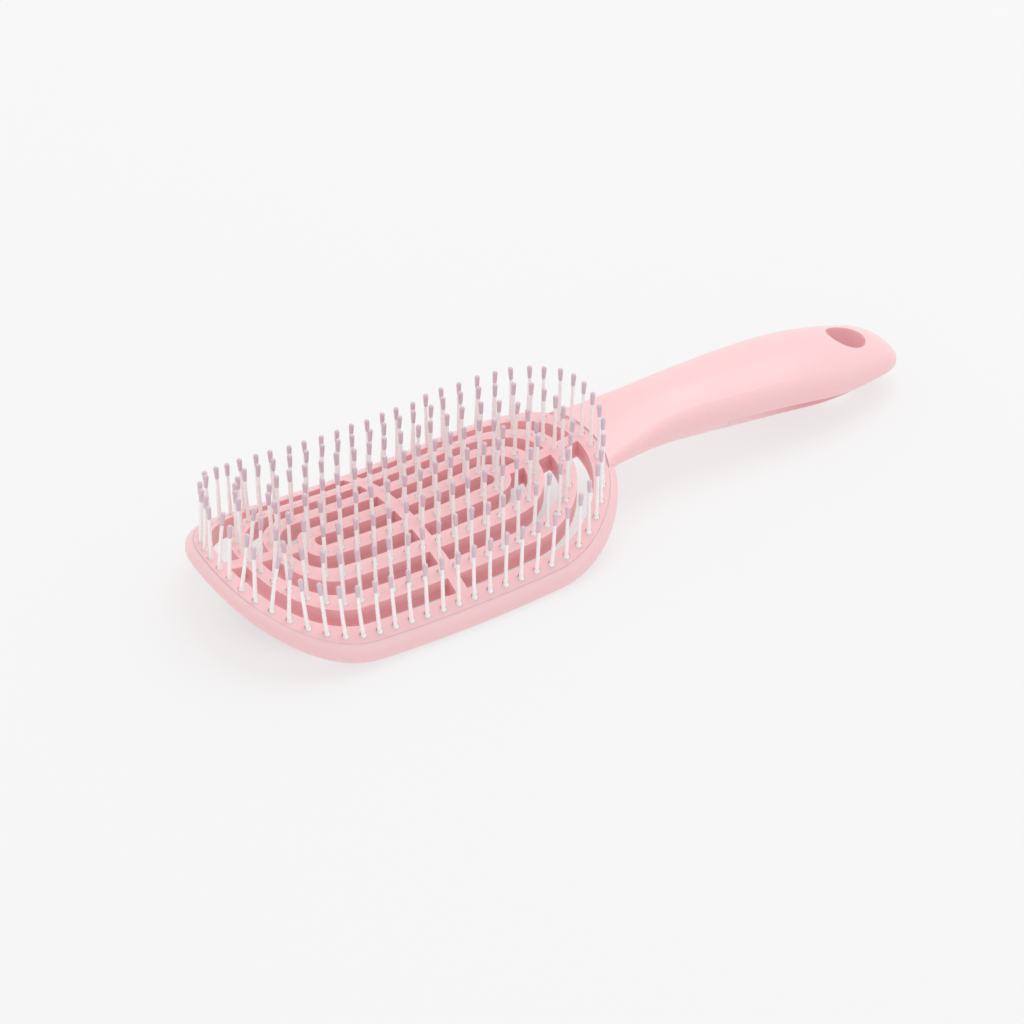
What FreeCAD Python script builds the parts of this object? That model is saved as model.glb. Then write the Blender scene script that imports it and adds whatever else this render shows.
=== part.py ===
import FreeCAD, Part
import math
import os
import Sketcher

# A vented paddle brush lying on its back, pins up: a saddle-shaped slotted plate seated in a
# rim that runs on into a hollow domed handle.  +X runs along the handle, +Z up, and the
# origin is on the floor under the middle of the brush.  All sizes are in millimetres.

V = FreeCAD.Vector
X_AXIS = V(1, 0, 0)
Z_AXIS = V(0, 0, 1)

PRISM_TALL = 90.0       # upright prisms that cross the whole head
REACH = "80"            # half size of the blocks that trim the pieces, as a formula
SADDLE_SWEEP = 40.0     # degrees of ring that give the head's faces
HANDLE_SQUARE = 0.04    # squareness of the ovals at the handle end
FREE_SQUARE = 0.11      # the free end is a little squarer
END_FLATNESS = 1.5      # radius of an oval's end arc over its half width
SHOULDER = 0.78         # side arcs of the handle's sections over their height

# ---------------------------------------------------------------- driving dimensions
DIMENSIONS = [
    ("origin_x", -55.05, "from the head's middle to the middle of the whole brush"),
    ("origin_z", 15.49, "from the floor up to the crown of the head"),
    ("across_radius", 66.0, "arch of the front face across the head"),
    ("along_radius", 369.0, "dish of the front face along the head"),
    ("saddle_x", 4.5, "lowest point of the dish, from the head's middle"),
    ("head_thick", 4.1, "rim, or both plates together at their edge"),
    ("plate_thick", 2.8, "front plate alone"),
    ("rib_deep", 5.7, "front face to the back of the backing plate's ribs"),
    ("rib_half", 32.0, "half width of the ribbed middle of the backing plate"),
    ("spine", 27.0, "half length of the line that all the ovals go round"),
    ("rim_half", 37.1, "half width of the head"),
    ("seat_half", 34.9, "half width of the opening in the rim"),
    ("seat_gap", 0.06, "play between the plates and the rim"),
    ("front_round", 2.6, "rounding of the rim's outer front edge"),
    ("back_round", 1.0, "rounding of the rim's outer back edge"),
    ("slot_pitch", 9.3, "from one vent slot's middle to the next"),
    ("slot_wide", 4.6, "width of a vent slot"),
    ("bridge_wide", 3.6, "width of the bridges that cross the slots"),
    ("bridge_x", -0.6, "crosswise bridges, from the head's middle"),
    ("pin_tall", 18.3, "front face to the top of a bead"),
    ("pin_root", 0.60, "radius of a pin's shaft at its root"),
    ("pin_end", 0.48, "radius of a pin's shaft inside its bead"),
    ("foot_radius", 0.95, "radius of the barrel that sits in the plate"),
    ("foot_sunk", 0.12, "depth of the barrel's shoulder below the front face"),
    ("foot_deep", 2.50, "depth of the barrel's end below the front face"),
    ("hole_radius", 1.00, "pin hole in the front plate"),
    ("pin_half", 32.7, "half width of the outer ring of pins"),
    ("pin_step", 5.15, "distance between pins along a ring"),
    ("column_first", -23.8, "column of pins nearest the free end, from the head's middle"),
    ("column_last", 22.55, "column of pins nearest the handle, from the head's middle"),
    ("bead_radius", 0.76, "largest radius of a bead"),
    ("bead_tall", 4.2, "length of a bead"),
    ("bead_neck", 0.12, "wall of a bead where the shaft enters"),
    ("bead_grip", 1.4, "length of shaft inside a bead"),
    ("shell_wall", 2.2, "wall of the hollow handle"),
    ("back_lap", 1.0, "overlap of the two arches that make the handle's section"),
    ("cover_wall", 2.0, "wall of the back cover"),
    ("cover_from", 104.2, "start of the back cover, from the head's middle"),
    ("cover_to", 165.6, "end of the back cover, from the head's middle"),
    ("cover_gap", 0.10, "play between the back cover and what it meets"),
    ("hang_x", 156.2, "hanging hole, from the head's middle"),
    ("hang_radius", 6.3, "hanging hole"),
    ("hang_tilt", 16.0, "lean of the hole's axis towards the handle's end, degrees"),
    ("boss_radius", 8.3, "tube round the hanging hole, inside the handle"),
]

# Stations along the handle: distance from the head's middle, half width, height of the edge
# where front and back meet, height of the crown, height of the belly, and how far the back
# is set in from the front's edge.
STATIONS = [
    (56.0, 17.4, 0.7, 4.1, -0.4, 0.15),
    (61.0, 15.0, 1.1, 5.0, -1.3, 0.15),
    (66.0, 14.1, 1.4, 5.9, -2.4, 0.15),
    (73.0, 13.3, 1.7, 7.1, -4.0, 0.15),
    (82.0, 12.7, 2.0, 8.4, -5.8, 0.20),
    (94.0, 13.1, 1.6, 9.3, -7.7, 0.40),
    (110.0, 14.5, 0.1, 9.0, -9.6, 1.20),
    (126.0, 15.6, -1.5, 8.1, -11.2, 1.50),
    (140.0, 16.0, -3.6, 6.8, -12.0, 1.50),
    (150.0, 15.2, -4.9, 4.9, -11.6, 1.50),
    (160.0, 13.3, -5.8, 2.3, -10.6, 1.40),
    (167.0, 11.2, -6.5, -0.3, -9.4, 1.10),
    (171.5, 7.9, -7.0, -3.2, -8.6, 0.70),
    (174.2, 2.6, -7.4, -6.6, -8.0, 0.40),
]
STATION_PARTS = ("at", "half", "low", "crown", "belly", "inset")
for number, station in enumerate(STATIONS):
    for part_name, amount in zip(STATION_PARTS, station):
        DIMENSIONS.append(("station%d_%s" % (number, part_name), amount, "handle station"))

doc = FreeCAD.newDocument("VentedPaddleBrush")
sheet = doc.addObject("Spreadsheet::Sheet", "Dims")
for row, (name, amount, meaning) in enumerate(DIMENSIONS, start=1):
    sheet.set("A%d" % row, name)
    sheet.set("B%d" % row, str(amount))
    sheet.set("C%d" % row, meaning)
    sheet.setAlias("B%d" % row, name)
doc.recompute()


def value(formula):
    """What a formula in the sheet's names comes to."""
    result = sheet.evalExpression(formula)
    return float(getattr(result, "Value", result))


def bind(item, prop, formula):
    item.setExpression(prop, formula)


def to_origin(item):
    """Place a finished piece in the brush's own frame."""
    bind(item, "Placement.Base.x", "Dims.origin_x")
    bind(item, "Placement.Base.z", "Dims.origin_z")


# ---------------------------------------------------------------- building blocks
def new_body(label):
    return doc.addObject("PartDesign::Body", label)


def new_sketch(body, name, role):
    """A sketch on one of its own body's origin planes."""
    plane = [item for item in body.Origin.OriginFeatures if item.Role == role][0]
    sketch = body.newObject("Sketcher::SketchObject", name)
    sketch.AttachmentSupport = [(plane, "")]
    sketch.MapMode = "FlatFace"
    return sketch


def constrain(sketch, *parts):
    return sketch.addConstraint(Sketcher.Constraint(*parts))


def dimension(sketch, formula, *parts):
    """A dimension of the sketch that follows a formula."""
    number = constrain(sketch, *parts, value(formula))
    sketch.setExpression("Constraints[%d]" % number, formula)


def arc(middle, radius, from_angle, to_angle):
    """Counter-clockwise arc in a sketch's plane, angles in radians."""
    circle = Part.Circle(V(middle[0], middle[1], 0), Z_AXIS, radius)
    return Part.ArcOfCircle(circle, from_angle, to_angle)


def common(label, first, second):
    item = doc.addObject("Part::Common", label)
    item.Base = first
    item.Tool = second
    return item


def cut(label, base, tool):
    item = doc.addObject("Part::Cut", label)
    item.Base = base
    item.Tool = tool
    return item


def fuse(label, *pieces):
    item = doc.addObject("Part::MultiFuse", label)
    item.Shapes = list(pieces)
    return item


def box(label, sizes, corner):
    item = doc.addObject("Part::Box", label)
    for prop, formula in zip(("Length", "Width", "Height"), sizes):
        bind(item, prop, formula)
    for prop, formula in zip(("x", "y", "z"), corner):
        bind(item, "Placement.Base." + prop, formula)
    return item


# ---------------------------------------------------------------- ovals
# Each oval goes round the spine at its half width: two straight sides and three arcs at each end.
def oval_end(half, square):
    """Corner arc's middle and radius, and the end arc's middle and radius, for one end."""
    corner = half * (1 - square)
    end = half * END_FLATNESS
    lift = half * square
    end_x = value("Dims.spine") + half - end
    corner_x = end_x + math.sqrt((end - corner) ** 2 - lift ** 2)
    return corner_x, lift, corner, end_x, end


def oval_curves(half):
    """The eight curves of one oval, in order, counter-clockwise."""
    hx, hy, h_corner, h_end_x, h_end = oval_end(half, HANDLE_SQUARE)
    fx, fy, f_corner, f_end_x, f_end = oval_end(half, FREE_SQUARE)
    h_turn = math.atan2(hy, hx - h_end_x)
    f_turn = math.atan2(fy, fx - f_end_x)
    quarter = math.pi / 2
    return [
        Part.LineSegment(V(-fx, -half, 0), V(hx, -half, 0)),
        arc((hx, -hy), h_corner, -quarter, -h_turn),
        arc((h_end_x, 0), h_end, -h_turn, h_turn),
        arc((hx, hy), h_corner, h_turn, quarter),
        Part.LineSegment(V(hx, half, 0), V(-fx, half, 0)),
        arc((-fx, fy), f_corner, quarter, math.pi - f_turn),
        arc((-f_end_x, 0), f_end, math.pi - f_turn, math.pi + f_turn),
        arc((-fx, -fy), f_corner, math.pi + f_turn, 3 * quarter),
    ]


def add_oval(sketch, half_formula):
    """One oval, tangent all the way round, its corner arcs' radii bound to the sheet."""
    first = sketch.GeometryCount
    for curve in oval_curves(value(half_formula)):
        sketch.addGeometry(curve, False)
    for index in range(8):
        constrain(sketch, "Tangent", first + index, 2, first + (index + 1) % 8, 1)
    constrain(sketch, "Horizontal", first)
    corners = [(1, HANDLE_SQUARE), (3, HANDLE_SQUARE), (5, FREE_SQUARE), (7, FREE_SQUARE)]
    for index, square in corners:
        dimension(sketch, "(%s) * %g" % (half_formula, 1 - square), "Radius", first + index)


def oval_prism(label, *half_formulas):
    """Upright prism inside one oval, or between two."""
    body = new_body(label)
    sketch = new_sketch(body, label + "_outline", "XY_Plane")
    for formula in half_formulas:
        add_oval(sketch, formula)
    pad = body.newObject("PartDesign::Pad", label + "_pad")
    pad.Profile = sketch
    pad.SideType = "Symmetric"
    pad.Length = PRISM_TALL
    return body


def saddle_solid(label, radius_formula):
    """Length of ring, turned about an axis above the head, whose inner side is a saddle."""
    body = new_body(label)
    sketch = new_sketch(body, label + "_section", "YZ_Plane")
    bind(sketch, ".AttachmentOffset.Base.y", "Dims.along_radius")
    bind(sketch, ".AttachmentOffset.Base.z", "Dims.saddle_x")
    drop = "Dims.along_radius + Dims.across_radius"
    sketch.addGeometry(Part.Circle(V(0, -value(drop), 0), Z_AXIS, value(radius_formula)), False)
    constrain(sketch, "PointOnObject", 0, 3, -2)
    dimension(sketch, drop, "DistanceY", 0, 3, -1, 1)
    dimension(sketch, radius_formula, "Radius", 0)
    turned = body.newObject("PartDesign::Revolution", label + "_turned")
    turned.Profile = sketch
    turned.ReferenceAxis = (sketch, ["H_Axis"])
    turned.Midplane = True
    turned.Angle = SADDLE_SWEEP
    return body


def front_z(x, y):
    """Height of the head's front face over a point of the plan."""
    along = value("Dims.along_radius")
    across = value("Dims.across_radius")
    from_axis = along + across - math.sqrt(across ** 2 - y ** 2)
    return along - math.sqrt(from_axis ** 2 - (x - value("Dims.saddle_x")) ** 2)


# ---------------------------------------------------------------- rim
front_face = saddle_solid("front_face", "Dims.across_radius")
split_face = saddle_solid("split_face", "Dims.across_radius - Dims.plate_thick")
back_face = saddle_solid("back_face", "Dims.across_radius - Dims.head_thick")
rib_face = saddle_solid("rib_face", "Dims.across_radius - Dims.rib_deep")
rim_prism = oval_prism("rim_prism", "Dims.rim_half")
seat_prism = oval_prism("seat_prism", "Dims.seat_half")
plate_prism = oval_prism("plate_prism", "Dims.seat_half - Dims.seat_gap")
rib_prism = oval_prism("rib_prism", "Dims.rib_half")

rim_blank = cut("rim_blank", common("rim_front", rim_prism, front_face), back_face)
doc.recompute()


def rounded_rim():
    """Round the rim's outer edges, the front one more than the back one."""
    item = doc.addObject("Part::Fillet", "rim_rounded")
    item.Base = rim_blank
    edges = []
    for number, edge in enumerate(rim_blank.Shape.Edges, start=1):
        middle = edge.valueAt((edge.FirstParameter + edge.LastParameter) / 2)
        depth = front_z(middle.x, middle.y) - middle.z
        upright = abs(edge.tangentAt(edge.FirstParameter).z) > 0.9
        if depth < 0.1:
            edges.append((number, value("Dims.front_round"), value("Dims.front_round")))
        elif not upright:
            edges.append((number, value("Dims.back_round"), value("Dims.back_round")))
    item.Edges = edges
    return item


rim_band = cut("rim_band", rounded_rim(), seat_prism)


# ---------------------------------------------------------------- handle
def arch_sketch(body, name, at, level, half, rise, turn):
    """D shape across the handle: a level edge and a three-arc arch, upright or hanging."""
    sketch = new_sketch(body, name, "YZ_Plane")
    sketch.AttachmentOffset = FreeCAD.Placement(
        V(0, value(level), value(at)), FreeCAD.Rotation(Z_AXIS, turn))
    bind(sketch, ".AttachmentOffset.Base.y", level)
    bind(sketch, ".AttachmentOffset.Base.z", at)
    wide = value(half)
    tall = value(rise)
    side = SHOULDER * min(tall, wide)
    side_x = wide - side
    top = (side_x ** 2 + tall ** 2 - side ** 2) / (2 * (tall - side))
    lean = math.atan2(top - tall, side_x)
    sketch.addGeometry(Part.LineSegment(V(-wide, 0, 0), V(wide, 0, 0)), False)
    sketch.addGeometry(arc((side_x, 0), side, 0, lean), False)
    sketch.addGeometry(arc((0, tall - top), top, lean, math.pi - lean), False)
    sketch.addGeometry(arc((-side_x, 0), side, math.pi - lean, math.pi), False)
    constrain(sketch, "Coincident", 0, 2, 1, 1)
    constrain(sketch, "Tangent", 1, 2, 2, 1)
    constrain(sketch, "Tangent", 2, 2, 3, 1)
    constrain(sketch, "Coincident", 3, 2, 0, 1)
    for geometry, point in ((0, 1), (0, 2), (1, 3), (3, 3)):
        constrain(sketch, "PointOnObject", geometry, point, -1)
    constrain(sketch, "PointOnObject", 2, 3, -2)
    constrain(sketch, "Equal", 1, 3)
    dimension(sketch, "2 * (%s)" % half, "Distance", 0)
    constrain(sketch, "Radius", 1, side)
    constrain(sketch, "Radius", 2, top)
    return sketch


def arch_loft(label, stations, level, half, rise, turn=0):
    """Loft through arches at the given stations; @ in a formula stands for the station."""
    body = new_body(label)
    sketches = []
    for number in stations:
        own = [text.replace("@", "Dims.station%d_" % number) for text in ("@at", level, half, rise)]
        sketches.append(arch_sketch(body, "%s_station%d" % (label, number), *own, turn))
    loft = body.newObject("PartDesign::AdditiveLoft", label + "_loft")
    loft.Profile = sketches[0]
    loft.Sections = sketches[1:]
    return body


HANGING = 180
ALL_STATIONS = range(len(STATIONS))
HOLLOW_STATIONS = range(6, 11)

front_arch = arch_loft("front_arch", ALL_STATIONS, "@low", "@half", "@crown - @low")
back_arch = arch_loft(
    "back_arch", ALL_STATIONS, "@low + Dims.back_lap",
    "@half - @inset", "@low + Dims.back_lap - @belly", HANGING)
front_hollow = arch_loft(
    "front_hollow", HOLLOW_STATIONS, "@low - Dims.shell_wall",
    "@half - Dims.shell_wall", "@crown - @low")
back_hollow = arch_loft(
    "back_hollow", HOLLOW_STATIONS, "@low + Dims.shell_wall",
    "@half - @inset - Dims.cover_wall", "@low + Dims.shell_wall - @belly - Dims.cover_wall", HANGING)
cover_space = box(
    "cover_space",
    ("Dims.cover_to - Dims.cover_from + 2 * Dims.cover_gap", "2 * " + REACH, "2 * " + REACH),
    ("Dims.cover_from - Dims.cover_gap", "-" + REACH, "-" + REACH))
cover_block = box(
    "cover_block", ("Dims.cover_to - Dims.cover_from", "2 * " + REACH, "2 * " + REACH),
    ("Dims.cover_from", "-" + REACH, "-" + REACH))


def hang_cylinder(label, radius_formula):
    """Cylinder through the handle on the hanging hole's axis."""
    item = doc.addObject("Part::Cylinder", label)
    bind(item, "Radius", radius_formula)
    item.Height = PRISM_TALL
    tilt = FreeCAD.Rotation(V(0, 1, 0), value("Dims.hang_tilt"))
    middle = V(value("Dims.hang_x"), 0, 0)
    item.Placement = FreeCAD.Placement(middle - tilt.multVec(V(0, 0, PRISM_TALL / 2)), tilt)
    return item


boss_core = hang_cylinder("boss_core", "Dims.boss_radius")
boss_clear = hang_cylinder("boss_clear", "Dims.boss_radius + Dims.cover_gap")
hang_hole = hang_cylinder("hang_hole", "Dims.hang_radius")

fixed_back = cut("fixed_back", back_arch, cover_space)
boss = common("boss", boss_core, fuse("handle_whole", front_arch, back_arch))
shell_solid = fuse("shell_solid", front_arch, fixed_back)
shell = cut("shell", shell_solid, fuse("shell_cuts", front_hollow, seat_prism))
handle_frame = cut("handle_frame", fuse("frame_solid", rim_band, shell, boss), hang_hole)
cover_solid = cut("cover_solid", common("cover_blank", back_arch, cover_block), front_arch)
cover_cuts = fuse("cover_cuts", back_hollow, boss_clear)
handle_back_cover = cut("handle_back_cover", cover_solid, cover_cuts)

# ---------------------------------------------------------------- plates
half_slot = "Dims.slot_wide / 2"
vent_rings = [
    oval_prism(
        "vent_ring%d" % ring,
        "%d * Dims.slot_pitch + %s" % (ring, half_slot),
        "%d * Dims.slot_pitch - %s" % (ring, half_slot))
    for ring in (1, 2, 3)
]
vent_middle = oval_prism("vent_middle", half_slot)

cross_bridge = box(
    "cross_bridge", ("Dims.bridge_wide", "2 * " + REACH, "2 * " + REACH),
    ("Dims.bridge_x - Dims.bridge_wide / 2", "-" + REACH, "-" + REACH))
handle_bridge = box(
    "handle_bridge", (REACH, "Dims.bridge_wide", "2 * " + REACH),
    ("Dims.spine + Dims.slot_pitch / 2", "-Dims.bridge_wide / 2", "-" + REACH))
free_bridge = box(
    "free_bridge", (REACH, "Dims.bridge_wide", "2 * " + REACH),
    ("-Dims.spine - Dims.slot_pitch / 2 - " + REACH, "-Dims.bridge_wide / 2", "-" + REACH))
vents = cut(
    "vents", fuse("vent_paths", vent_middle, *vent_rings),
    fuse("bridges", cross_bridge, handle_bridge, free_bridge))

front_layer = cut("front_layer", common("front_blank", plate_prism, front_face), split_face)
front_slotted = cut("front_slotted", front_layer, vents)
back_layer = cut("back_layer", common("back_blank", plate_prism, split_face), back_face)
rib_layer = cut("rib_layer", common("rib_blank", rib_prism, split_face), rib_face)
backing_plate = cut("backing_plate", fuse("backing_solid", back_layer, rib_layer), vents)


# ---------------------------------------------------------------- pins and beads
def spaced_points(path):
    """Points along a path of joined curves, both ends included, about one pin step apart."""
    lengths = [curve.length() for curve in path]
    count = round(sum(lengths) / value("Dims.pin_step"))
    points = []
    for number in range(count + 1):
        travel = sum(lengths) * number / count
        for curve, length in zip(path, lengths):
            if travel <= length + 1e-6:
                points.append(curve.value(curve.parameterAtDistance(travel, curve.FirstParameter)))
                break
            travel -= length
    return points


def ring_points(half_formula):
    """Points along an oval: columns that all rings share, then even steps round each end."""
    half = value(half_formula)
    curves = oval_curves(half)
    first = value("Dims.column_first")
    last = value("Dims.column_last")
    columns = round((last - first) / value("Dims.pin_step"))
    points = []
    for number in range(1, columns):
        column = first + (last - first) * number / columns
        points += [V(column, -half, 0), V(column, half, 0)]
    for column, start, end_arcs in ((last, -half, curves[1:4]), (first, half, curves[5:])):
        leave = Part.LineSegment(V(column, start, 0), end_arcs[0].StartPoint)
        arrive = Part.LineSegment(end_arcs[-1].EndPoint, V(column, -start, 0))
        points += spaced_points([leave] + end_arcs + [arrive])
    return points


def turned_piece(label, corners, rounded_from=None):
    """Piece turned about the Z axis from corners (radius, height), given as formulas.

    The side that starts at corner rounded_from is a quarter circle and not a straight line.
    """
    body = new_body(label)
    sketch = new_sketch(body, label + "_profile", "XZ_Plane")
    places = [(value(radius), value(height)) for radius, height in corners]
    last = len(places) - 1
    for number, (radius, height) in enumerate(places):
        after = places[0] if number == last else places[number + 1]
        if number == rounded_from:
            sketch.addGeometry(arc((0, height), radius, 0, math.pi / 2), False)
        else:
            sketch.addGeometry(Part.LineSegment(V(radius, height, 0), V(after[0], after[1], 0)), False)
    for number in range(len(places)):
        constrain(sketch, "Coincident", number, 2, (number + 1) % len(places), 1)
        radius, height = corners[number]
        if places[number][0] == 0:
            constrain(sketch, "PointOnObject", number, 1, -2)
        else:
            dimension(sketch, radius, "DistanceX", -1, 1, number, 1)
        if number - 1 != rounded_from or rounded_from is None:
            dimension(sketch, height, "DistanceY", -1, 1, number, 1)
    if rounded_from is not None:
        constrain(sketch, "PointOnObject", rounded_from, 3, -2)
        constrain(sketch, "Horizontal", rounded_from, 3, rounded_from, 1)
    turned = body.newObject("PartDesign::Revolution", label + "_turned")
    turned.Profile = sketch
    turned.ReferenceAxis = (sketch, ["V_Axis"])
    turned.Angle = 360
    return body


bead_low = "Dims.pin_tall - Dims.bead_tall"
grip_top = bead_low + " + Dims.bead_grip"
one_pin = turned_piece("one_pin", [
    ("0", "-Dims.foot_deep"),
    ("Dims.foot_radius", "-Dims.foot_deep"),
    ("Dims.foot_radius", "-Dims.foot_sunk"),
    ("Dims.pin_root", "-Dims.foot_sunk"),
    ("Dims.pin_end", bead_low),
    ("Dims.pin_end", grip_top),
    ("0", grip_top),
])
one_bead = turned_piece("one_bead", [
    ("0", grip_top),
    ("Dims.pin_end", grip_top),
    ("Dims.pin_end", bead_low),
    ("Dims.pin_end + Dims.bead_neck", bead_low),
    ("Dims.bead_radius", "Dims.pin_tall - Dims.bead_radius"),
    ("0", "Dims.pin_tall"),
], rounded_from=4)
doc.recompute()


def copies(label, shape, points):
    """One node of separate copies, each standing on the front face at its point."""
    placed = []
    for point in points:
        copy = shape.copy()
        copy.translate(V(point.x, point.y, front_z(point.x, point.y)))
        placed.append(copy)
    item = doc.addObject("Part::Feature", label)
    item.Shape = Part.makeCompound(placed)
    return item


RINGS = {
    "outer": "Dims.pin_half",
    "rib_3": "2.5 * Dims.slot_pitch",
    "rib_2": "1.5 * Dims.slot_pitch",
    "rib_1": "0.5 * Dims.slot_pitch",
}
ring_places = {ring: ring_points(formula) for ring, formula in RINGS.items()}
pins = {ring: copies(ring + "_pins", one_pin.Shape, places) for ring, places in ring_places.items()}
beads = {ring: copies(ring + "_tips", one_bead.Shape, places) for ring, places in ring_places.items()}

drill = Part.makeCylinder(value("Dims.hole_radius"), PRISM_TALL, V(0, 0, -PRISM_TALL / 2), Z_AXIS)
every_place = [place for places in ring_places.values() for place in places]
pin_holes = copies("pin_holes", drill, every_place)
pin_plate = cut("pin_plate", front_slotted, pin_holes)

# ---------------------------------------------------------------- finished pieces
finished = [handle_frame, handle_back_cover, pin_plate, backing_plate]
finished += list(pins.values()) + list(beads.values())
for piece in finished:
    to_origin(piece)
doc.recompute()

for item in doc.Objects:
    if any(flag in ("Invalid", "Error") for flag in item.State):
        raise RuntimeError("%s did not build: %s" % (item.Name, item.State))

os.makedirs("parts", exist_ok=True)
for piece in finished:
    shape = piece.Shape
    if shape.isNull() or not shape.isValid() or not shape.Solids:
        raise RuntimeError("%s is not a valid solid" % piece.Label)
    shape.exportStep("parts/%s.step" % piece.Label)
    print("%-18s %3d solids %8.0f mm3" % (piece.Label, len(shape.Solids), shape.Volume))
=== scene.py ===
"""A pink vented paddle brush lying on its back on a white table, pins up."""
import math
import random

import bmesh
import bpy
import numpy as np
from mathutils import Matrix, Vector


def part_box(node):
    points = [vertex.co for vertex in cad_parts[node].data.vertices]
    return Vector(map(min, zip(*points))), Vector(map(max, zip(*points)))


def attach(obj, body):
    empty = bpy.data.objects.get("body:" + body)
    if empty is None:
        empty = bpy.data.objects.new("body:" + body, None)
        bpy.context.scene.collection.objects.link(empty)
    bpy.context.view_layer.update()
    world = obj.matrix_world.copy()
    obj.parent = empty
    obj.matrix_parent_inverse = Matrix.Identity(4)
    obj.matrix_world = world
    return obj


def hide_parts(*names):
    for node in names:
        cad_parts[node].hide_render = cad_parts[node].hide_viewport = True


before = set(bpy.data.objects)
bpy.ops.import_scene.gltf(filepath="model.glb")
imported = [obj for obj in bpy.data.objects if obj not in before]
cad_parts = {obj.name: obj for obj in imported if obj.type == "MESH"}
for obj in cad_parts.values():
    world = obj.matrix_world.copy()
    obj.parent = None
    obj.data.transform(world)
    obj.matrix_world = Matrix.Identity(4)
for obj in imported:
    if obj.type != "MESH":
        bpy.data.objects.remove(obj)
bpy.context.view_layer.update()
MM = 0.001
RINGS = ("outer", "rib_3", "rib_2", "rib_1")
dice = random.Random(11)


# ---------------------------------------------------------------- camera
# The brush points away to the right, and is seen from well above its near side.
HEADING = math.radians(32.0)
LOOK_DOWN = math.radians(38.0)
DISTANCE = 886 * MM
LENS = 110.7
SENSOR = 36.0
FARTHEST = 20.0                     # metres the camera sees
HEAD_MIDDLE = Vector((-55.05, 0.0, 15.49)) * MM
OFF_CENTRE = (-0.1036, -0.0003)     # where the head's middle falls, in widths of the picture


def place_camera():
    right = Vector((math.cos(HEADING), -math.sin(HEADING), 0.0))
    ahead = Vector((math.sin(HEADING) * math.cos(LOOK_DOWN),
                    math.cos(HEADING) * math.cos(LOOK_DOWN), -math.sin(LOOK_DOWN)))
    up = right.cross(ahead)
    width = SENSOR / LENS
    aim = (ahead - right * OFF_CENTRE[0] * width - up * OFF_CENTRE[1] * width).normalized()
    side = aim.cross(up).normalized()
    turn = Matrix((side, side.cross(aim), -aim)).transposed()
    camera = bpy.data.objects.new("camera", bpy.data.cameras.new("camera"))
    camera.data.lens = LENS
    camera.data.sensor_width = SENSOR
    camera.data.clip_end = FARTHEST
    spot = HEAD_MIDDLE - ahead * DISTANCE
    camera.matrix_world = Matrix.Translation(spot) @ turn.to_4x4()
    bpy.context.scene.collection.objects.link(camera)
    bpy.context.scene.camera = camera


# ---------------------------------------------------------------- studio
WHITE = (1.0, 1.0, 1.0, 1.0)
TABLE_REACH = 6.0                   # metres from the middle to each edge
SKY_STRENGTH = 0.86
KEY_PLACE = Vector((0.7, 0.4, 1.8))
KEY_POWER = 11.0                    # watts
KEY_SIZE = 1.6                      # metres across


def add_table():
    mesh = bpy.data.meshes.new("table")
    signs = ((-1, -1), (1, -1), (1, 1), (-1, 1))
    corners = [(x * TABLE_REACH, y * TABLE_REACH, 0) for x, y in signs]
    mesh.from_pydata(corners, [], [(0, 1, 2, 3)])
    mesh.materials.append(table_material())
    table = bpy.data.objects.new("table", mesh)
    bpy.context.scene.collection.objects.link(table)


def add_sky():
    world = bpy.data.worlds.new("studio")
    world.use_nodes = True
    background = world.node_tree.nodes["Background"]
    background.inputs["Color"].default_value = WHITE
    background.inputs["Strength"].default_value = SKY_STRENGTH
    bpy.context.scene.world = world


def add_key_light():
    """A broad round lamp above the handle's far side, aimed at the brush."""
    data = bpy.data.lights.new("key", "AREA")
    data.energy = KEY_POWER
    data.shape = "DISK"
    data.size = KEY_SIZE
    light = bpy.data.objects.new("key", data)
    light.location = KEY_PLACE
    light.rotation_euler = (-KEY_PLACE).to_track_quat("-Z", "Y").to_euler()
    bpy.context.scene.collection.objects.link(light)


# ---------------------------------------------------------------- materials
TEXTURE_LOW, TEXTURE_HIGH = 0.3, 0.7    # most of a noise texture's values lie in here
WALL_STEEP, WALL_FLAT = 0.15, 0.6       # normal's Z where the painted shade on upright walls ends and unshaded tops begin


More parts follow.
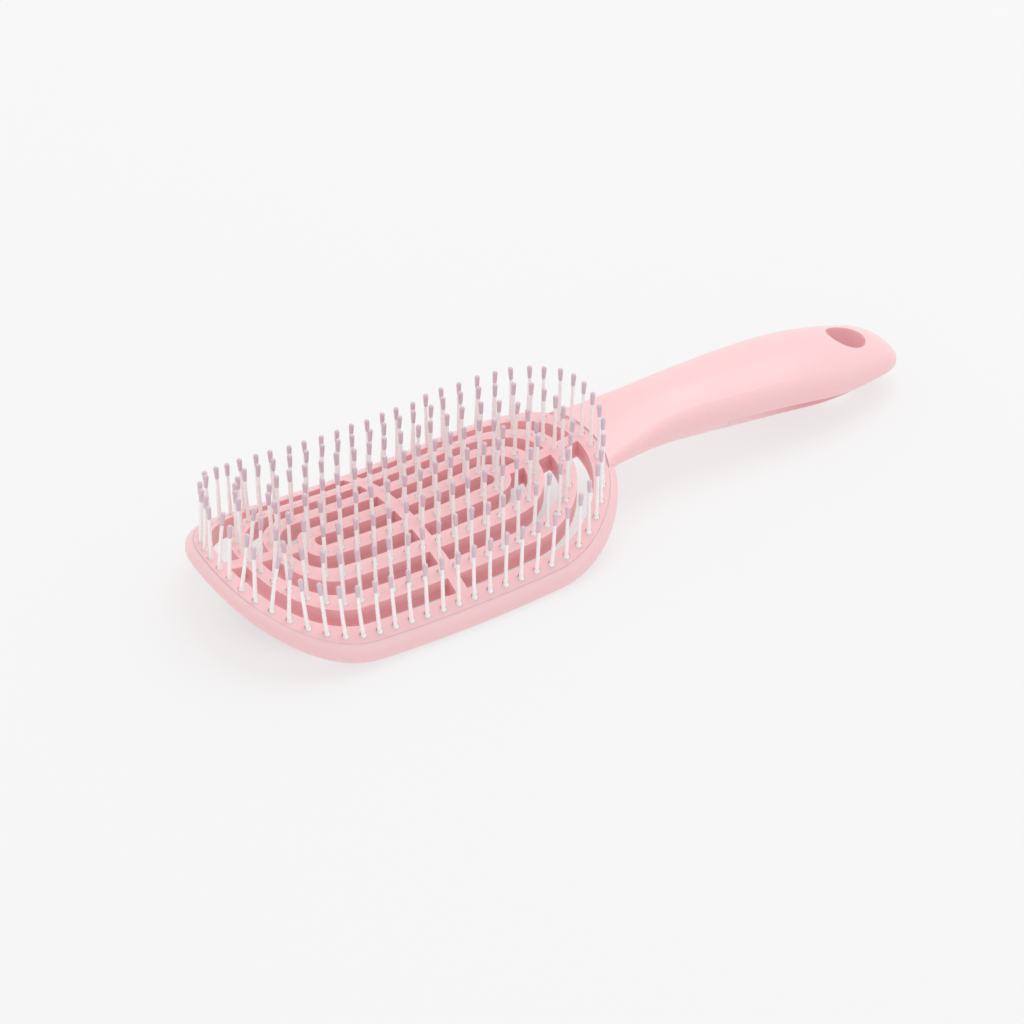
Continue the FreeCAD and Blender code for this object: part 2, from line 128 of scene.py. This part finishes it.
class Tree:
    """A material's node tree, with short calls to add and join nodes."""

    def __init__(self, name):
        self.material = bpy.data.materials.new(name)
        self.material.use_nodes = True
        self.nodes = self.material.node_tree.nodes
        self.links = self.material.node_tree.links
        self.shader = self.nodes["Principled BSDF"]

    def add(self, kind, **values):
        node = self.nodes.new(kind)
        for key, setting in values.items():
            setattr(node, key, setting)
        return node

    def join(self, source, target):
        self.links.new(source, target)

    def fill(self, socket, content):
        """Puts another node's output or a plain colour into a socket."""
        if isinstance(content, bpy.types.NodeSocket):
            self.join(content, socket)
        else:
            socket.default_value = content + (1.0,)

    def place(self):
        """Position on the object, in metres."""
        return self.add("ShaderNodeTexCoord").outputs["Object"]

    def part(self, vector, axis):
        """One part of a vector: X, Y or Z."""
        node = self.add("ShaderNodeSeparateXYZ")
        self.join(vector, node.inputs["Vector"])
        return node.outputs[axis]

    def noise(self, scale, detail):
        node = self.add("ShaderNodeTexNoise")
        node.inputs["Scale"].default_value = scale
        node.inputs["Detail"].default_value = detail
        self.join(self.place(), node.inputs["Vector"])
        return node.outputs["Fac"]

    def ramp(self, source, before, after, kind="LINEAR"):
        """A value brought from one range, (low, high), into another."""
        node = self.add("ShaderNodeMapRange", interpolation_type=kind)
        node.inputs["From Min"].default_value = before[0]
        node.inputs["From Max"].default_value = before[1]
        node.inputs["To Min"].default_value = after[0]
        node.inputs["To Max"].default_value = after[1]
        self.join(source, node.inputs["Value"])
        return node.outputs["Result"]

    def blend(self, factor, first, second):
        """From the first colour at 0 to the second at 1."""
        node = self.add("ShaderNodeMix", data_type="RGBA")
        self.fill(node.inputs["A"], first)
        self.fill(node.inputs["B"], second)
        self.join(factor, node.inputs["Factor"])
        return node.outputs["Result"]

    def painted_wall_shade(self, top, wall_shade):
        """Painted shade: a deeper colour down a piece's upright faces, standing in for the shade
        on slot walls.
        """
        normal = self.add("ShaderNodeNewGeometry").outputs["Normal"]
        flatness = self.ramp(self.part(normal, "Z"), (WALL_STEEP, WALL_FLAT), (0.0, 1.0))
        return self.blend(flatness, wall_shade, top)

    def shade_fade_in(self, full, pale, start, length):
        """Painted shade that fades in along X: a paler colour at one end gives way to the full,
        shaded one.
        """
        along = self.part(self.place(), "X")
        reached = self.ramp(along, (start, start + length), (0.0, 1.0), "SMOOTHSTEP")
        return self.blend(reached, pale, full)

    def rough(self, texture, low, high):
        """Roughness that a texture carries from low to high."""
        roughness = self.ramp(texture, (TEXTURE_LOW, TEXTURE_HIGH), (low, high))
        self.join(roughness, self.shader.inputs["Roughness"])

    def bump(self, layers, strength):
        """Adds bump layers, each a texture output with its height in metres."""
        normal = None
        for texture, height in layers:
            node = self.add("ShaderNodeBump")
            node.inputs["Strength"].default_value = strength
            node.inputs["Distance"].default_value = height
            self.join(texture, node.inputs["Height"])
            if normal:
                self.join(normal, node.inputs["Normal"])
            normal = node.outputs["Normal"]
        self.join(normal, self.shader.inputs["Normal"])


def set_values(shader, **values):
    for key, setting in values.items():
        shader.inputs[key.replace("_", " ")].default_value = setting


def moulded_plastic(name, light, deep, roughness, wall_shade=None, shade_fade=None):
    """Satin injection-moulded plastic: faint flow marks, a fine mould grain, a soft inner glow,
    and optionally painted shade down upright walls or painted shade fading in along X.
    """
    tree = Tree(name)
    color = tree.blend(tree.noise(38.0, 3.0), light, deep)
    if wall_shade:
        color = tree.painted_wall_shade(color, wall_shade)
    if shade_fade:
        color = tree.shade_fade_in(color, *shade_fade)
    tree.join(color, tree.shader.inputs["Base Color"])
    tree.rough(tree.noise(120.0, 4.0), roughness - 0.05, roughness + 0.06)
    flow_marks = (tree.noise(60.0, 2.0), 0.06 * MM)
    mould_grain = (tree.noise(2600.0, 2.0), 0.012 * MM)
    tree.bump([flow_marks, mould_grain], 0.6)
    set_values(tree.shader, IOR=1.5, Subsurface_Weight=0.25, Subsurface_Scale=3 * MM,
               Subsurface_Radius=(1.0, 0.45, 0.42), Coat_Weight=0.12, Coat_Roughness=0.2)
    return tree.material


def nylon(name, light, deep, roughness):
    """Milky drawn nylon, faintly clouded and finely grained."""
    tree = Tree(name)
    color = tree.blend(tree.noise(300.0, 2.0), light, deep)
    tree.join(color, tree.shader.inputs["Base Color"])
    tree.rough(tree.noise(900.0, 2.0), roughness - 0.06, roughness + 0.08)
    tree.bump([(tree.noise(1200.0, 1.0), 0.003 * MM)], 0.5)
    set_values(tree.shader, IOR=1.53, Subsurface_Weight=0.35, Subsurface_Scale=0.8 * MM,
               Subsurface_Radius=(1.0, 0.9, 0.95))
    return tree.material


def table_material():
    """White sweep that glows evenly, with a painted shadow: the glow is dimmed where the head
    stands over it.
    """
    tree = Tree("table_white")
    # painted shadow: a soft ellipse of lower glow under the head
    under_head = tree.add("ShaderNodeMapping", vector_type="TEXTURE")
    under_head.inputs["Location"].default_value = HEAD_MIDDLE.x, 0.0, 0.0
    under_head.inputs["Scale"].default_value = 70 * MM, 44 * MM, 1.0
    tree.join(tree.place(), under_head.inputs["Vector"])
    away = tree.add("ShaderNodeVectorMath", operation="LENGTH")
    tree.join(under_head.outputs["Vector"], away.inputs[0])
    glow_and_painted_shadow = tree.ramp(away.outputs["Value"], (0.4, 0.95), (0.38, 0.665), "SMOOTHSTEP")
    tree.join(glow_and_painted_shadow, tree.shader.inputs["Emission Strength"])
    color = tree.blend(tree.noise(3.0, 1.0), (0.24, 0.24, 0.24), (0.243, 0.243, 0.243))
    tree.join(color, tree.shader.inputs["Base Color"])
    set_values(tree.shader, Roughness=0.9, Specular_IOR_Level=0.1, Emission_Color=WHITE)
    return tree.material


def paint(item, material):
    item.data.materials.clear()
    item.data.materials.append(material)


# ---------------------------------------------------------------- pins
# Outlines as (height, radius) in millimetres: a pin's foot and its bead.
FOOT = ((0.0, 0.95), (2.36, 0.95), (2.46, 0.86), (2.6, 0.72), (2.85, 0.62))
BEAD = ((0.0, 0.50), (0.06, 0.57), (0.4, 0.61), (1.4, 0.66), (2.5, 0.71), (3.3, 0.76),
        (3.65, 0.72), (3.92, 0.57), (4.1, 0.35), (4.17, 0.13))
FOOT_DEEP = 2.36 * MM           # height of the barrel that sits upright in the plate
SHAFT_RADII = (0.60, 0.48)      # a shaft's root and end, in millimetres
SHAFT_STEPS = 6
SIDES = 14                      # of a pin's round sections
PIN_REACH = 2.2 * MM            # wider than one pin, less than the way to the next
BOW = 0.12 * MM                 # spread of the bend in a shaft's middle

# A pin's lean is its sideways way per unit of height. Places along X are in
# millimetres from the head's middle. The near pins fan out towards the free end.
LEAN = 0.11                     # at most
LEAN_FROM, LEAN_TO = 10.0, -35.0    # where the lean begins and where it is full
LEAN_SIDES = 60 * MM            # the head's width over which the lean dies away
LEAST_SHARE = 0.15              # of the lean, kept by the far pins
FREE_END = -48.0                # beyond here the pins lean either way
FREE_LEAN = (-0.05, 0.14)
STRAY_X, STRAY_Y = 0.016, 0.02  # spread of each pin's own lean


def clamp(value, low, high):
    return min(max(value, low), high)


def stems(node):
    """Each solid of a pin node, in order along X: (x, y, lowest z, highest z)."""
    groups = []
    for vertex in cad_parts[node].data.vertices:
        x, y, z = vertex.co
        for group in groups:
            if math.dist(group[0][:2], (x, y)) < PIN_REACH:
                group.append((x, y, z))
                break
        else:
            groups.append([(x, y, z)])
    found = []
    for group in groups:
        low = np.min(group, axis=0)
        high = np.max(group, axis=0)
        found.append(((low[0] + high[0]) / 2, (low[1] + high[1]) / 2, low[2], high[2]))
    return sorted(found, key=lambda stem: (round(stem[0], 5), round(stem[1], 5)))


def nearest(stem, others):
    return min(others, key=lambda other: math.dist(other[:2], stem[:2]))


def lathe(build, line, radii):
    """Closed turned form along a bent line of points."""
    rings = []
    for number, (point, radius) in enumerate(zip(line, radii)):
        before = line[max(number - 1, 0)]
        after = line[min(number + 1, len(line) - 1)]
        along = (after - before).normalized()
        beside = along.cross(Vector((1, 0, 0))).normalized()
        across = beside.cross(along)
        ring = []
        for step in range(SIDES):
            angle = 2 * math.pi * step / SIDES
            offset = across * math.cos(angle) + beside * math.sin(angle)
            ring.append(build.verts.new(point + offset * radius))
        rings.append(ring)
    for lower, upper in zip(rings, rings[1:]):
        for step in range(SIDES):
            after = (step + 1) % SIDES
            build.faces.new((lower[step], lower[after], upper[after], upper[step]))
    build.faces.new(list(reversed(rings[0])))
    build.faces.new(rings[-1])


def finish_mesh(name, build, material, nodes):
    bmesh.ops.recalc_face_normals(build, faces=build.faces[:])
    mesh = bpy.data.meshes.new(name)
    build.to_mesh(mesh)
    build.free()
    for face in mesh.polygons:
        face.use_smooth = True
    item = bpy.data.objects.new(name, mesh)
    bpy.context.scene.collection.objects.link(item)
    paint(item, material)
    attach(item, "root")
    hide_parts(*nodes)


def pin_line(stem, bead_top, lean, bow):
    """Function from a height above the foot to the pin's bent middle line."""
    x, y, low, _ = stem
    standing = bead_top - low - FOOT_DEEP

    def at(height):
        raised = max(height - FOOT_DEEP, 0.0)
        slide = lean * raised + bow * math.sin(math.pi * raised / standing)
        return Vector((x, y, low + height)) + slide
    return at


def pin_lean(x, y):
    from_middle = (x - HEAD_MIDDLE.x) / MM
    nearness = clamp(0.5 - y / LEAN_SIDES, LEAST_SHARE, 1.0)
    reached = clamp((LEAN_FROM - from_middle) / (LEAN_FROM - LEAN_TO), 0.0, 1.0)
    fan = -LEAN * nearness * reached
    if from_middle < FREE_END:
        fan = dice.uniform(*FREE_LEAN)
    return Vector((fan + dice.gauss(0, STRAY_X), dice.gauss(0, STRAY_Y), 0))


def build_pin(shafts, beads, stem, bead):
    """One pin: a straight barrel, a slim tapered shaft that leans and bows, and its bead."""
    x, y, low, shaft_top = stem
    bead_low, bead_top = bead[2:]
    bow = Vector((dice.gauss(0, BOW), dice.gauss(0, BOW), 0))
    at = pin_line(stem, bead_top, pin_lean(x, y), bow)
    heights = [height * MM for height, _ in FOOT]
    radii = [radius * MM for _, radius in FOOT]
    start, end = heights[-1], shaft_top - low
    root, tip = SHAFT_RADII
    for step in range(1, SHAFT_STEPS + 1):
        part = step / SHAFT_STEPS
        heights.append(start + (end - start) * part)
        radii.append((root + (tip - root) * part) * MM)
    lathe(shafts, [at(height) for height in heights], radii)
    bead_line = [at(bead_low - low + height * MM) for height, _ in BEAD]
    lathe(beads, bead_line, [radius * MM for _, radius in BEAD])


def build_ring(ring, pin_material, bead_material):
    shafts = bmesh.new()
    beads = bmesh.new()
    tips = stems(ring + "_tips")
    for stem in stems(ring + "_pins"):
        build_pin(shafts, beads, stem, nearest(stem, tips))
    finish_mesh(ring + "_nylon_pins", shafts, pin_material, [ring + "_pins"])
    finish_mesh(ring + "_bead_tips", beads, bead_material, [ring + "_tips"])


# ---------------------------------------------------------------- the scene
place_camera()
add_table()
add_sky()
add_key_light()
bpy.context.scene.view_settings.view_transform = "Standard"

shell_pink = moulded_plastic("shell_pink", (0.95, 0.61, 0.63), (0.94, 0.585, 0.605), 0.34)
# plate_pink carries painted shade: a deeper pink down the upright slot walls.
plate_pink = moulded_plastic("plate_pink", (0.95, 0.57, 0.595), (0.94, 0.545, 0.57), 0.42,
                             wall_shade=(0.925, 0.49, 0.52))
# Painted shade: the backing plate's deeper pink stands in for the shade on the lower half of the
# slot walls.
slot_shade_pink = moulded_plastic("slot_shade_pink", (0.915, 0.47, 0.495), (0.90, 0.445, 0.47), 0.45)
# Painted shade: the back cover's deep rose stands in for the shade under the handle's edge, fading
# in from a paler pink over 30 mm from the cover's front end.
cover_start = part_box("handle_back_cover")[0][0]
underside_shade_rose = moulded_plastic("underside_shade_rose", (0.78, 0.33, 0.36), (0.75, 0.30, 0.335), 0.45,
                            shade_fade=((0.94, 0.57, 0.59), cover_start, 30 * MM))
paint(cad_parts["handle_frame"], shell_pink)
paint(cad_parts["pin_plate"], plate_pink)
paint(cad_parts["backing_plate"], slot_shade_pink)
paint(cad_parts["handle_back_cover"], underside_shade_rose)

clear_nylon = nylon("clear_nylon", (0.98, 0.965, 0.945), (0.97, 0.95, 0.935), 0.3)
lilac_nylon = nylon("lilac_nylon", (0.64, 0.585, 0.64), (0.78, 0.55, 0.63), 0.4)
for ring in RINGS:
    build_ring(ring, clear_nylon, lilac_nylon)
